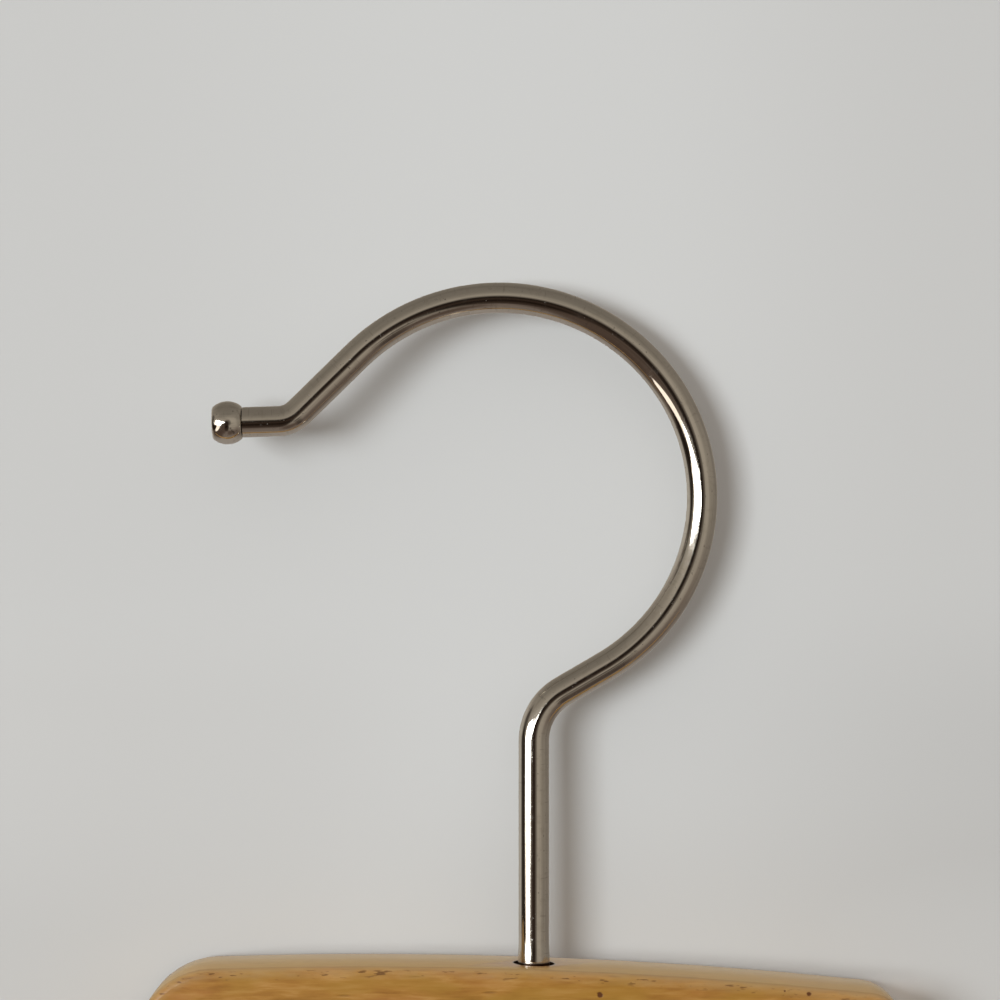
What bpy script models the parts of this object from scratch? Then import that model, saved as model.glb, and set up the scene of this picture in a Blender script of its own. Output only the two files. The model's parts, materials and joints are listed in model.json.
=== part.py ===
"""Flat wooden clothes hanger with a swivelling steel hook and a trouser bar.

Lengths are in metres and angles in degrees. +Z runs up along the hook's shank, the front faces -Y,
and +X is to the right as seen from the front. The origin is the point inside the hook's loop that
sits on a rail. The board's own outline is drawn from the point where the shank enters its crown.
"""
import math

import bmesh
import bpy
from mathutils import Matrix, Vector

# Faceting and fits
SAG = 0.00003
WIRE_SAG = 0.000012
ROUND_STEPS = 32
WIRE_BEVEL_RESOLUTION = 8
CLEARANCE = 0.0003
CUT_OVERRUN = 0.003
MERGE_DISTANCE = 0.000001
CAP_NORMAL = 0.5

# Hook wire, bent in one plane, from the wood up to the ball
WIRE_DIAMETER = 0.0038
SHANK_RISE = 0.02765
THROAT_RADIUS = 0.00715
THROAT_TURN = 59.7
THROAT_RUN = 0.00615
LOOP_SIDE_RADIUS = 0.02445
LOOP_SIDE_TURN = 99.6
LOOP_TOP_RADIUS = 0.0255
LOOP_TOP_TURN = 94.5
MOUTH_RUN = 0.01005
LIP_RADIUS = 0.00375
LIP_TURN = 42.6
LIP_RUN = 0.00635

# Shank inside the wood, swelled by its rolled thread, and its riveted end
SHANK_DIAMETER = 0.004
SWELL_ABOVE_WOOD = 0.0015
SWELL_TAPER = 0.001
RIVET_DIAMETER = 0.0054
RIVET_HEIGHT = 0.001
RIVET_EDGE = 0.0002
RIVET_TOP_SHARE = 0.7

# Ball pressed on the wire's turned-down end
BALL_DIAMETER = 0.0054
BALL_WIDTH = 0.0037
SPIGOT_DIAMETER = 0.0022
SPIGOT_LENGTH = 0.0023
SPIGOT_BEVEL = 0.0001

# Nut and washer
NUT_FLATS = 0.007
NUT_HEIGHT = 0.0032
NUT_CHAMFER = 0.0004
WASHER_RIM = 0.0006
WASHER_THICKNESS = 0.0005

# Board
BOARD_SPAN = 0.445
BOARD_HEIGHT = 0.135
BOARD_THICKNESS = 0.012
ARRIS_RADIUS = 0.001
ARRIS_SEGMENTS = 3
CENTRE_DEPTH = 0.058

# Crown, a little out of true: it falls to the right, and its corners are unlike
CROWN_RADIUS = 0.6
CROWN_FALL = 2.0
CROWN_RUN_RIGHT = 0.0415
CROWN_RUN_LEFT = 0.0399
CORNER_RADIUS_RIGHT = 0.0054
CORNER_RADIUS_LEFT = 0.0098
CROWN_SIDE_SLOPE = 56.0

# Shoulders
SHOULDER_START = 0.072
SHOULDER_START_DROP = 0.0245
SHOULDER_FILLET = 0.022
SHOULDER_SLOPE_INNER = 15.0
SHOULDER_SLOPE_OUTER = 30.0
TIP_RADIUS = 0.012

# Strap notches in the shoulders
NOTCH_FROM_SHANK = 0.172
NOTCH_WIDTH = 0.007
NOTCH_DEPTH = 0.009
NOTCH_MOUTH_RADIUS = 0.0026

# Heels at the ends, which carry the bar, and the arch of the underside
HEEL_WIDTH = 0.032
HEEL_OUTER_RADIUS = 0.01
HEEL_INNER_RADIUS = 0.005
HEEL_CORNER_ABOVE_BAR = 0.0193
HEEL_BELOW_BAR = 0.0135
UNDERSIDE_FILLET = 0.014
UNDERSIDE_KNEE_SHARE = 0.3625

# Holes for the shank
BORE_PLAY = 0.00055
COUNTERBORE_PLAY = 0.0004
COUNTERBORE_DEPTH = 0.0095

# Trouser bar
BAR_DIAMETER = 0.009
BAR_EDGE = 0.0006
TENON_DIAMETER = 0.007
TENON_LENGTH = 0.014
TENON_CHAMFER = 0.0008

# Non-slip sleeve on the bar
SLEEVE_LENGTH = 0.3
SLEEVE_WALL = 0.0006
SLEEVE_RIB_HEIGHT = 0.0004
SLEEVE_RIBS = 18
SLEEVE_POINTS_PER_RIB = 4

# Brads that pin the bar
BRAD_DIAMETER = 0.0015
BRAD_HEAD_DIAMETER = 0.0023
BRAD_HEAD_HEIGHT = 0.0006
BRAD_COVER = 0.0016
BRAD_POINT_LENGTH = 0.002
BRAD_POINT_SHARE = 0.25

# Places that follow from the sizes above
wire_radius = WIRE_DIAMETER / 2
shank_radius = SHANK_DIAMETER / 2
half_span = BOARD_SPAN / 2
half_thickness = BOARD_THICKNESS / 2
underside_z = -CENTRE_DEPTH
heel_bottom_z = -BOARD_HEIGHT
bar_z = heel_bottom_z + HEEL_BELOW_BAR
heel_inner_x = half_span - HEEL_WIDTH
pin_x = heel_inner_x + TENON_LENGTH / 2
nut_corner_radius = NUT_FLATS / 2 / math.cos(math.pi / 6)
washer_radius = NUT_FLATS / 2 + WASHER_RIM
shank_hole_radius = shank_radius + CLEARANCE
bore_radius = shank_radius + BORE_PLAY
counterbore_radius = max(washer_radius, nut_corner_radius) + COUNTERBORE_PLAY
seat_z = underside_z + COUNTERBORE_DEPTH
washer_z = seat_z - CLEARANCE - WASHER_THICKNESS / 2
nut_z = washer_z - WASHER_THICKNESS / 2 - CLEARANCE - NUT_HEIGHT / 2
rivet_z = nut_z - NUT_HEIGHT / 2 - CLEARANCE


class Pen:
    """Draws a path of straight runs and arcs, each leaving in the direction the last one reached."""

    def __init__(self, x, z, heading, sag):
        self.points = [Vector((x, z))]
        self.heading = heading
        self.sag = sag

    def along(self, heading):
        angle = math.radians(heading)
        return Vector((math.cos(angle), math.sin(angle)))

    def line(self, length):
        self.points.append(self.points[-1] + self.along(self.heading) * length)

    def arc(self, radius, turn):
        """Turns left by a positive angle and right by a negative one."""
        side = math.copysign(radius, turn)
        centre = self.points[-1] + self.along(self.heading + 90) * side
        facet = 2 * math.degrees(math.acos(1 - self.sag / radius))
        steps = max(2, math.ceil(abs(turn) / facet))
        for step in range(1, steps + 1):
            heading = self.heading + turn * step / steps
            self.points.append(centre - self.along(heading + 90) * side)
        self.heading += turn

    def arc_to_heading(self, radius, heading):
        self.arc(radius, heading - self.heading)


def arc_travel(start, end):
    """How far an arc of radius 1 carries the pen between two headings."""
    side = math.copysign(1, end - start)
    start_angle = math.radians(start)
    end_angle = math.radians(end)
    return side * Vector((math.sin(end_angle) - math.sin(start_angle),
                          math.cos(start_angle) - math.cos(end_angle)))


def shares_along(travel, first, second):
    """The two amounts of the first and second directions that add up to the travel."""
    return Matrix(((first.x, second.x), (first.y, second.y))).inverted() @ travel


def collection(name):
    made = bpy.data.collections.new(name)
    bpy.context.scene.collection.children.link(made)
    return made


def finish(name, colour, roughness, metallic):
    material = bpy.data.materials.new(name)
    material.use_nodes = True
    shader = material.node_tree.nodes["Principled BSDF"]
    shader.inputs["Base Color"].default_value = (*colour, 1)
    shader.inputs["Roughness"].default_value = roughness
    shader.inputs["Metallic"].default_value = metallic
    material.diffuse_color = (*colour, 1)
    return material


def place(name, data, group, parent, location, rotation=(0, 0, 0)):
    thing = bpy.data.objects.new(name, data)
    group.objects.link(thing)
    thing.parent = parent
    thing.location = location
    thing.rotation_euler = [math.radians(angle) for angle in rotation]
    return thing


def turned_mesh(name, profile):
    """A profile of radius and height, from the top of the outside down, as a chain of edges."""
    mesh = bpy.data.meshes.new(name)
    vertices = [(radius, 0, height) for radius, height in profile]
    mesh.from_pydata(vertices, [(i, i + 1) for i in range(len(vertices) - 1)], [])
    return mesh


def turn(thing):
    screw = thing.modifiers.new("turned", "SCREW")
    screw.steps = ROUND_STEPS
    screw.render_steps = ROUND_STEPS
    screw.use_merge_vertices = True
    screw.merge_threshold = MERGE_DISTANCE
    return thing


def ring_profile(outer, inner, height, chamfer=0):
    """The closed section of a ring, with its outer edges chamfered where asked."""
    top = height / 2
    corners = [(inner, top), (outer - chamfer, top)]
    if chamfer:
        corners += [(outer, top - chamfer), (outer, chamfer - top)]
    corners += [(outer - chamfer, -top), (inner, -top), (inner, top)]
    return corners


def outline_curve(name, loops, half_depth):
    """A flat outline in the curve's own XY plane, filled and thickened both ways."""
    curve = bpy.data.curves.new(name, "CURVE")
    curve.dimensions = "2D"
    curve.fill_mode = "BOTH"
    curve.extrude = half_depth
    for loop in loops:
        spline = curve.splines.new("POLY")
        spline.points.add(len(loop) - 1)
        for point, corner in zip(spline.points, loop):
            point.co = (corner[0], corner[1], 0, 1)
        spline.use_cyclic_u = True
    return curve


def made_mesh(thing, whole_caps):
    """Replaces a curve object by a mesh object in the same place, with its caps welded.

    Caps without a hole in them can be made one face each, which a bevel needs to run evenly.
    """
    bpy.context.view_layer.update()
    evaluated = thing.evaluated_get(bpy.context.evaluated_depsgraph_get())
    mesh = bpy.data.meshes.new_from_object(evaluated)
    shape = bmesh.new()
    shape.from_mesh(mesh)
    bmesh.ops.remove_doubles(shape, verts=shape.verts, dist=MERGE_DISTANCE)
    if whole_caps:
        caps = [face for face in shape.faces if abs(face.normal.z) > CAP_NORMAL]
        bmesh.ops.dissolve_faces(shape, faces=caps)
    shape.to_mesh(mesh)
    shape.free()
    solid = bpy.data.objects.new(thing.name, mesh)
    thing.users_collection[0].objects.link(solid)
    solid.parent = thing.parent
    solid.matrix_world = thing.matrix_world.copy()
    name = thing.name
    bpy.data.objects.remove(thing)
    solid.name = name
    return solid


def cutter(thing):
    thing.hide_render = True
    thing.display_type = "WIRE"
    return thing


def boolean(thing, other, operation):
    step = thing.modifiers.new(other.name, "BOOLEAN")
    step.object = other
    step.operation = operation
    step.solver = "EXACT"


def hook_path():
    """The wire's centreline from the wood to the ball's centre, and where it starts and ends."""
    pen = Pen(0, 0, 90, WIRE_SAG)
    pen.line(SHANK_RISE)
    pen.arc(THROAT_RADIUS, -THROAT_TURN)
    pen.line(THROAT_RUN)
    pen.arc(LOOP_SIDE_RADIUS, LOOP_SIDE_TURN)
    top_of_loop = pen.points[-1] + arc_travel(pen.heading, 180) * LOOP_TOP_RADIUS
    pen.arc(LOOP_TOP_RADIUS, LOOP_TOP_TURN)
    pen.line(MOUTH_RUN)
    pen.arc(LIP_RADIUS, -LIP_TURN)
    rail_seat = top_of_loop - Vector((0, wire_radius))
    return pen, rail_seat


def wire_stations(pen, shift):
    """Points of the wire with its radius at each, from the riveted end to the spigot."""
    along = pen.along(pen.heading)
    shank = Vector((0, 1))
    rivet_radius = RIVET_DIAMETER / 2
    stations = [
        (shank * (rivet_z - RIVET_HEIGHT), rivet_radius * RIVET_TOP_SHARE),
        (shank * (rivet_z - RIVET_HEIGHT / 2), rivet_radius),
        (shank * (rivet_z - RIVET_EDGE), rivet_radius),
        (shank * rivet_z, shank_radius),
        (shank * SWELL_ABOVE_WOOD, shank_radius),
        (shank * (SWELL_ABOVE_WOOD + SWELL_TAPER), wire_radius),
    ]
    stations += [(point, wire_radius) for point in pen.points[1:]]
    ball_neck = LIP_RUN - BALL_WIDTH / 2
    shoulder = pen.points[-1] + along * (ball_neck - CLEARANCE)
    spigot_radius = SPIGOT_DIAMETER / 2
    stations += [
        (shoulder, wire_radius),
        (shoulder + along * SPIGOT_BEVEL, spigot_radius),
        (shoulder + along * (CLEARANCE + SPIGOT_LENGTH), spigot_radius),
    ]
    return [(point + shift, radius) for point, radius in stations]


def hook_wire(group, steel, stations):
    curve = bpy.data.curves.new("hook_wire", "CURVE")
    curve.dimensions = "3D"
    curve.bevel_depth = wire_radius
    curve.bevel_resolution = WIRE_BEVEL_RESOLUTION
    curve.use_fill_caps = True
    spline = curve.splines.new("POLY")
    spline.points.add(len(stations) - 1)
    for point, (centre, radius) in zip(spline.points, stations):
        point.co = (centre.x, 0, centre.y, 1)
        point.radius = radius / wire_radius
    spline.use_smooth = True
    curve.materials.append(steel)
    return place("hook_wire", curve, group, None, (0, 0, 0))


def ball_profile():
    """Truncated ball with its blind socket open downward, where the wire enters."""
    half_width = BALL_WIDTH / 2
    radius = BALL_DIAMETER / 2
    end_angle = math.degrees(math.asin(half_width / radius))
    facet = 2 * math.degrees(math.acos(1 - SAG / radius))
    steps = 2 * math.ceil(end_angle / facet)
    profile = [(0, half_width)]
    for step in range(steps + 1):
        angle = math.radians(end_angle * (1 - 2 * step / steps))
        profile.append((radius * math.cos(angle), radius * math.sin(angle)))
    socket_radius = SPIGOT_DIAMETER / 2 + CLEARANCE
    socket_end = SPIGOT_LENGTH + CLEARANCE - half_width
    profile += [(socket_radius, -half_width), (socket_radius, socket_end), (0, socket_end)]
    return profile


def hook_ball_tip(group, steel, pen, shift):
    centre = pen.points[-1] + pen.along(pen.heading) * LIP_RUN + shift
    mesh = turned_mesh("hook_ball_tip", ball_profile())
    mesh.materials.append(steel)
    lean = 90 - pen.heading
    return turn(place("hook_ball_tip", mesh, group, None, (centre.x, 0, centre.y), (0, lean, 0)))


def hook_nut(group, cutters, steel, swivel):
    """A hexagon bar, cut to the bore and to the chamfered ends of a turned ring."""
    mesh = bpy.data.meshes.new("hook_nut")
    shape = bmesh.new()
    bmesh.ops.create_cone(shape, cap_ends=True, segments=6, radius1=nut_corner_radius,
                          radius2=nut_corner_radius, depth=NUT_HEIGHT + 2 * CUT_OVERRUN)
    shape.to_mesh(mesh)
    shape.free()
    mesh.materials.append(steel)
    nut = place("hook_nut", mesh, group, swivel, (0, 0, nut_z))
    ring = ring_profile(nut_corner_radius, shank_hole_radius, NUT_HEIGHT, NUT_CHAMFER)
    blank = turned_mesh("nut_blank", ring)
    blank = cutter(turn(place("nut_blank", blank, cutters, swivel, (0, 0, nut_z))))
    boolean(nut, blank, "INTERSECT")
    return nut


def hook_washer(group, steel, swivel):
    mesh = turned_mesh("hook_washer", ring_profile(washer_radius, shank_hole_radius, WASHER_THICKNESS))
    mesh.materials.append(steel)
    return turn(place("hook_washer", mesh, group, swivel, (0, 0, washer_z)))


def draw_crown(pen, run, corner_radius):
    """The crown from the shank outward, its corner, steep side and the fillet to the shoulder."""
    pen.arc(CROWN_RADIUS, -math.degrees(run / CROWN_RADIUS))
    pen.arc_to_heading(corner_radius, -CROWN_SIDE_SLOPE)
    side = pen.along(-CROWN_SIDE_SLOPE)
    shoulder = pen.along(-SHOULDER_SLOPE_INNER)
    fillet = arc_travel(-CROWN_SIDE_SLOPE, -SHOULDER_SLOPE_INNER) * SHOULDER_FILLET
    travel = Vector((SHOULDER_START, -SHOULDER_START_DROP)) - pen.points[-1] - fillet
    side_length, shoulder_length = shares_along(travel, side, shoulder)
    pen.line(side_length)
    pen.arc_to_heading(SHOULDER_FILLET, -SHOULDER_SLOPE_INNER)
    pen.line(shoulder_length)


def draw_notch(pen):
    """A round-bottomed slot square to the shoulder, with its mouth rounded over."""
    bottom_radius = NOTCH_WIDTH / 2
    wall = NOTCH_DEPTH - NOTCH_MOUTH_RADIUS - bottom_radius
    pen.arc(NOTCH_MOUTH_RADIUS, -90)
    pen.line(wall)
    pen.arc(bottom_radius, 180)
    pen.line(wall)
    pen.arc(NOTCH_MOUTH_RADIUS, -90)


def draw_shoulder(pen):
    """One long arc, interrupted by the strap notch, and the rounded tip."""
    end = arc_travel(-SHOULDER_SLOPE_OUTER, -90) * TIP_RADIUS
    reach = half_span - end.x - SHOULDER_START
    radius = reach / arc_travel(-SHOULDER_SLOPE_INNER, -SHOULDER_SLOPE_OUTER).x
    notch_run = (NOTCH_FROM_SHANK - SHOULDER_START) / radius
    notch_heading = -math.degrees(math.asin(math.sin(math.radians(SHOULDER_SLOPE_INNER)) + notch_run))
    mouth = NOTCH_WIDTH + 2 * NOTCH_MOUTH_RADIUS
    half_mouth_turn = math.degrees(math.asin(mouth / 2 / radius))
    pen.arc_to_heading(radius, notch_heading + half_mouth_turn)
    pen.heading = notch_heading
    draw_notch(pen)
    pen.heading = notch_heading - half_mouth_turn
    pen.arc_to_heading(radius, -SHOULDER_SLOPE_OUTER)
    pen.arc_to_heading(TIP_RADIUS, -90)


def draw_heel(pen):
    """Down the outer face and round the heel, to the foot of the inner face."""
    pen.line(pen.points[-1].y - heel_bottom_z - HEEL_OUTER_RADIUS)
    pen.arc(HEEL_OUTER_RADIUS, -90)
    pen.line(HEEL_WIDTH - HEEL_OUTER_RADIUS - HEEL_INNER_RADIUS)
    pen.arc(HEEL_INNER_RADIUS, -90)


def draw_underside(pen):
    """Up the face that the bar butts against, its fillet, a straight arm and half of the arch.

    The arm's line runs from a sharp corner at the heel's face to a knee level with the arch's top.
    """
    corner = Vector((heel_inner_x, bar_z + HEEL_CORNER_ABOVE_BAR))
    knee = Vector((heel_inner_x * UNDERSIDE_KNEE_SHARE, underside_z))
    slope = math.degrees(math.atan2(knee.y - corner.y, corner.x - knee.x))
    fillet_reach = UNDERSIDE_FILLET * math.tan(math.radians(90 - slope) / 2)
    arch_radius = knee.x / math.tan(math.radians(slope) / 2)
    pen.line(corner.y - fillet_reach - pen.points[-1].y)
    pen.arc_to_heading(UNDERSIDE_FILLET, -180 - slope)
    pen.line((corner - knee).length - fillet_reach - knee.x)
    pen.arc(arch_radius, slope)


def half_outline(run, corner_radius, fall):
    pen = Pen(0, 0, -fall, SAG)
    draw_crown(pen, run, corner_radius)
    draw_shoulder(pen)
    draw_heel(pen)
    draw_underside(pen)
    return pen.points


def board_outline():
    right = half_outline(CROWN_RUN_RIGHT, CORNER_RADIUS_RIGHT, CROWN_FALL)
    left = half_outline(CROWN_RUN_LEFT, CORNER_RADIUS_LEFT, -CROWN_FALL)
    return right + [Vector((-point.x, point.y)) for point in reversed(left[1:-1])]


def shank_hole(cutters, swivel):
    """The bore and the counterbore below it, as one turned cutter."""
    top = CUT_OVERRUN
    bottom = underside_z - CUT_OVERRUN
    profile = [(0, top), (bore_radius, top), (bore_radius, seat_z), (counterbore_radius, seat_z),
               (counterbore_radius, bottom), (0, bottom)]
    mesh = turned_mesh("shank_hole", profile)
    return cutter(turn(place("shank_hole", mesh, cutters, swivel, (0, 0, 0))))


def tenon_hole(cutters, swivel, side):
    """A blind hole in the heel's inner face, its turned axis laid along X with the bottom outward."""
    radius = TENON_DIAMETER / 2 + CLEARANCE
    depth = TENON_LENGTH + CLEARANCE
    profile = [(0, depth), (radius, depth), (radius, -CUT_OVERRUN), (0, -CUT_OVERRUN)]
    name = "tenon_hole_" + side_name(side)
    mesh = turned_mesh(name, profile)
    where = (side * heel_inner_x, 0, bar_z)
    return cutter(turn(place(name, mesh, cutters, swivel, where, (0, side * 90, 0))))


def brad_hole(cutters, swivel, side):
    """A stepped blind hole from the board's back, along Y, for the brad and its head."""
    head_radius = BRAD_HEAD_DIAMETER / 2 + CLEARANCE
    radius = BRAD_DIAMETER / 2 + CLEARANCE
    head_bottom = -BRAD_HEAD_HEIGHT - CLEARANCE
    bottom = BRAD_COVER - BOARD_THICKNESS
    profile = [(0, CUT_OVERRUN), (head_radius, CUT_OVERRUN), (head_radius, head_bottom),
               (radius, head_bottom), (radius, bottom), (0, bottom)]
    name = "brad_hole_" + side_name(side)
    mesh = turned_mesh(name, profile)
    where = (side * pin_x, half_thickness, bar_z)
    return cutter(turn(place(name, mesh, cutters, swivel, where, (-90, 0, 0))))


def side_name(side):
    return "right" if side > 0 else "left"


def shoulder_board(group, cutters, wood, swivel):
    curve = outline_curve("shoulder_board", [board_outline()], half_thickness)
    board = made_mesh(place("shoulder_board", curve, group, swivel, (0, 0, 0), (90, 0, 0)), True)
    board.data.materials.append(wood)
    arris = board.modifiers.new("arris", "BEVEL")
    arris.width = ARRIS_RADIUS
    arris.segments = ARRIS_SEGMENTS
    arris.limit_method = "ANGLE"
    arris.angle_limit = math.radians(60)
    boolean(board, shank_hole(cutters, swivel), "DIFFERENCE")
    for side in (-1, 1):
        boolean(board, tenon_hole(cutters, swivel, side), "DIFFERENCE")
        boolean(board, brad_hole(cutters, swivel, side), "DIFFERENCE")
    return board


def bar_profile():
    """Half of the bar's outline, mirrored to run from one tenon's end to the other's."""
    tenon_radius = TENON_DIAMETER / 2
    radius = BAR_DIAMETER / 2
    shoulder = heel_inner_x - CLEARANCE
    end = heel_inner_x + TENON_LENGTH
    half = [(0, end), (tenon_radius - TENON_CHAMFER, end), (tenon_radius, end - TENON_CHAMFER),
            (tenon_radius, shoulder), (radius - BAR_EDGE, shoulder), (radius, shoulder - BAR_EDGE)]
    return half + [(r, -z) for r, z in reversed(half)]


def trouser_bar(group, cutters, wood, swivel):
    mesh = turned_mesh("trouser_bar", bar_profile())
    mesh.materials.append(wood)
    bar = turn(place("trouser_bar", mesh, group, swivel, (0, 0, bar_z), (0, 90, 0)))
    radius = BRAD_DIAMETER / 2 + CLEARANCE
    reach = TENON_DIAMETER / 2 + CUT_OVERRUN
    profile = [(0, reach), (radius, reach), (radius, -reach), (0, -reach)]
    for side in (-1, 1):
        name = "tenon_pin_hole_" + side_name(side)
        mesh = turned_mesh(name, profile)
        hole = turn(place(name, mesh, cutters, swivel, (side * pin_x, 0, bar_z), (90, 0, 0)))
        boolean(bar, cutter(hole), "DIFFERENCE")
    return bar


def sleeve_loops():
    """The sleeve's ribbed outside and its round bore, as two closed outlines."""
    inner = BAR_DIAMETER / 2 + CLEARANCE
    mean = inner + SLEEVE_WALL + SLEEVE_RIB_HEIGHT / 2
    count = SLEEVE_RIBS * SLEEVE_POINTS_PER_RIB
    outside = []
    bore = []
    for step in range(count):
        angle = 2 * math.pi * step / count
        radius = mean + SLEEVE_RIB_HEIGHT / 2 * math.cos(SLEEVE_RIBS * angle)
        outside.append((radius * math.cos(angle), radius * math.sin(angle)))
        bore.append((inner * math.cos(angle), inner * math.sin(angle)))
    return [outside, bore[::2]]


def bar_sleeve(group, plastic, swivel):
    curve = outline_curve("bar_sleeve", sleeve_loops(), SLEEVE_LENGTH / 2)
    sleeve = made_mesh(place("bar_sleeve", curve, group, swivel, (0, 0, bar_z), (0, 90, 0)), False)
    sleeve.data.materials.append(plastic)
    return sleeve


def brad_profile():
    """From the flat head at the board's back down to the blunted point."""
    radius = BRAD_DIAMETER / 2
    head_radius = BRAD_HEAD_DIAMETER / 2
    end = BRAD_COVER + CLEARANCE - BOARD_THICKNESS
    point_radius = radius * BRAD_POINT_SHARE
    return [(0, 0), (head_radius, 0), (head_radius, -BRAD_HEAD_HEIGHT), (radius, -BRAD_HEAD_HEIGHT),
            (radius, end + BRAD_POINT_LENGTH), (point_radius, end), (0, end)]


def bar_pin(group, steel, swivel, side):
    name = "bar_pin_" + side_name(side)
    mesh = turned_mesh(name, brad_profile())
    mesh.materials.append(steel)
    where = (side * pin_x, half_thickness, bar_z)
    return turn(place(name, mesh, group, swivel, where, (-90, 0, 0)))


def build():
    for thing in list(bpy.data.objects):
        bpy.data.objects.remove(thing)
    group = collection("wooden_clothes_hanger")
    cutters = collection("cutters")

    plated = finish("nickel_plated_steel", (0.52, 0.49, 0.44), 0.16, 1.0)
    zinc = finish("zinc_plated_steel", (0.6, 0.61, 0.62), 0.32, 1.0)
    bright = finish("bright_steel", (0.5, 0.5, 0.5), 0.35, 1.0)
    beech = finish("lacquered_beech", (0.42, 0.2, 0.06), 0.34, 0.0)
    dowel = finish("lacquered_dowel", (0.5, 0.27, 0.1), 0.38, 0.0)
    vinyl = finish("clear_vinyl", (0.74, 0.72, 0.66), 0.25, 0.0)

    pen, rail_seat = hook_path()
    shift = -rail_seat
    swivel = place("swivel_axis", None, group, None, (shift.x, 0, shift.y))
    hook_wire(group, plated, wire_stations(pen, shift))
    hook_ball_tip(group, plated, pen, shift)
    hook_nut(group, cutters, zinc, swivel)
    hook_washer(group, zinc, swivel)
    shoulder_board(group, cutters, beech, swivel)
    trouser_bar(group, cutters, dowel, swivel)
    bar_sleeve(group, vinyl, swivel)
    for side in (-1, 1):
        bar_pin(group, bright, swivel, side)


build()
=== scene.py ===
"""Looks of a flat wooden clothes hanger: its finishes, fine surfaces, backdrop, light and camera.

Lengths are in metres and angles in degrees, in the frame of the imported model: +Z runs up along the
hook's shank, the front faces -Y, and the origin is the point inside the hook that sits on a rail.
The three numbers of a grain are how many of its features fit in a metre along each axis.
"""
import json
import math

import bmesh
import bpy
from mathutils import Matrix, Vector, noise


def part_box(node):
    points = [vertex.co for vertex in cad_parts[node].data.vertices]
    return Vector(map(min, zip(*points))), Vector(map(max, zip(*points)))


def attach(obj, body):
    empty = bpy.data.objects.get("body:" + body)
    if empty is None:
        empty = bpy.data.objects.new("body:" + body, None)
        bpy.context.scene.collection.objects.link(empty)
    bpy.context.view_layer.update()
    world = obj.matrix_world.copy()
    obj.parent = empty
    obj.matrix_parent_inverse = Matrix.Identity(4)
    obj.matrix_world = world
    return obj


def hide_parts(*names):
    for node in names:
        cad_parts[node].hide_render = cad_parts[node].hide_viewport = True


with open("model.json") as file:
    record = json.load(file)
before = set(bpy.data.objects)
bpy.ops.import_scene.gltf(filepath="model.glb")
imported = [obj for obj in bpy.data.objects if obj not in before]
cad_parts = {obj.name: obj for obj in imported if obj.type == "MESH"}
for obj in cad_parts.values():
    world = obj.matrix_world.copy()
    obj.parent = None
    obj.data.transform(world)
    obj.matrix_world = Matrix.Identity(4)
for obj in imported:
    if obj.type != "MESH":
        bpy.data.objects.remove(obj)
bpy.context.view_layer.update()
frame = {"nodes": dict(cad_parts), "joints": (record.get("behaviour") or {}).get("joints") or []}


# The hook: mild steel wire drawn to 3.8 mm, bent cold in one plane and plated with bright nickel. Its
# shank swells a little where a thread was rolled for the nut, and its lower end is riveted over.
WIRE_RADIUS = 0.0019
SHANK_RADIUS = 0.002
SWELL_END = 0.0002
SWELL_TAPER = 0.0026
WIRE_SIDES = 56
WIRE_STEP = 0.0005
SHANK_RISE = 0.02765
THROAT_RADIUS = 0.00715
THROAT_TURN = -59.7
THROAT_RUN = 0.00615
LOOP_SIDE_RADIUS = 0.02445
LOOP_SIDE_TURN = 99.6
LOOP_TOP_RADIUS = 0.0255
LOOP_TOP_TURN = 94.5
MOUTH_RUN = 0.01005
LIP_RADIUS = 0.00375
LIP_TURN = -42.6
LIP_RUN = 0.00635
BALL_WIDTH = 0.0037
BALL_SEAM = 0.00007
SPIGOT_RADIUS = 0.0011
SPIGOT_LENGTH = 0.0023
RIVET_RADIUS = 0.0027
RIVET_EDGE = 0.0004
NUT_GAP = 0.0003
NICKEL = (0.62, 0.57, 0.5)
NICKEL_TARNISHED = (0.5, 0.45, 0.38)
NICKEL_RUBBED = (0.45, 0.415, 0.36)
NICKEL_ROUGHNESS = 0.055
# Dark brown for the plating's ticks and pits, and for the ring of dirt and painted shade at the wire's
# foot and the bore's edge.
DIRT_AND_SHADE_BROWN = (0.04, 0.018, 0.01)
FOOT_DIRT_AND_SHADE_TOP = 0.00032
FOOT_DIRT_AND_SHADE_FULL = 0.00008
FOOT_DIRT_AND_SHADE_LOW = -0.004
SOIL_ROUGHNESS = 0.4
DRAW_MARKS = (5200, 5200, 70)
DRAW_MARK_DEPTH = 0.0000015
DRAW_MARK_ROUGHNESS = 0.03
RUBS = (2100, 2100, 75)
RUBS_SHOWN = (0.45, 0.7)
RUBS_SHARE = 0.45
WAVES = (650, 650, 260)
WAVE_HEIGHT = 0.0000018
TICKS = (500, 500, 4200)
TICKS_SHOWN = (0.66, 0.74)
TICKS_SHARE = 0.12
PATCHES = 700
PATCHES_SHOWN = (0.48, 0.68)
PATCHES_SHARE = 0.4
PATCHES_ROUGHNESS = 0.05
PITS = 3000
PITS_SHOWN = (0.7, 0.76)
PITS_SHARE = 0.5
PIT_DEPTH = 0.0000012
PIT_ROUGHNESS = 0.2
SHARP_ANGLE = 40


class Tone:
    """One socket of a finish's nodes, with the arithmetic that adds its Math nodes."""

    def __init__(self, finish, socket):
        self.finish = finish
        self.socket = socket

    def worked(self, operation, first, second):
        return self.finish.node("Math", {"operation": operation}, {0: first, 1: second})

    def __add__(self, other):
        return self.worked("ADD", self, other)

    def __sub__(self, other):
        return self.worked("SUBTRACT", self, other)

    def __rsub__(self, other):
        return self.worked("SUBTRACT", other, self)

    def __mul__(self, other):
        return self.worked("MULTIPLY", self, other)

    def __mod__(self, other):
        return self.worked("FLOORED_MODULO", self, other)

    def __abs__(self):
        return self.finish.node("Math", {"operation": "ABSOLUTE"}, {0: self})

    def beside(self, output):
        """Another output of the same node."""
        return Tone(self.finish, self.socket.node.outputs[output])

    __radd__ = __add__
    __rmul__ = __mul__


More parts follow.
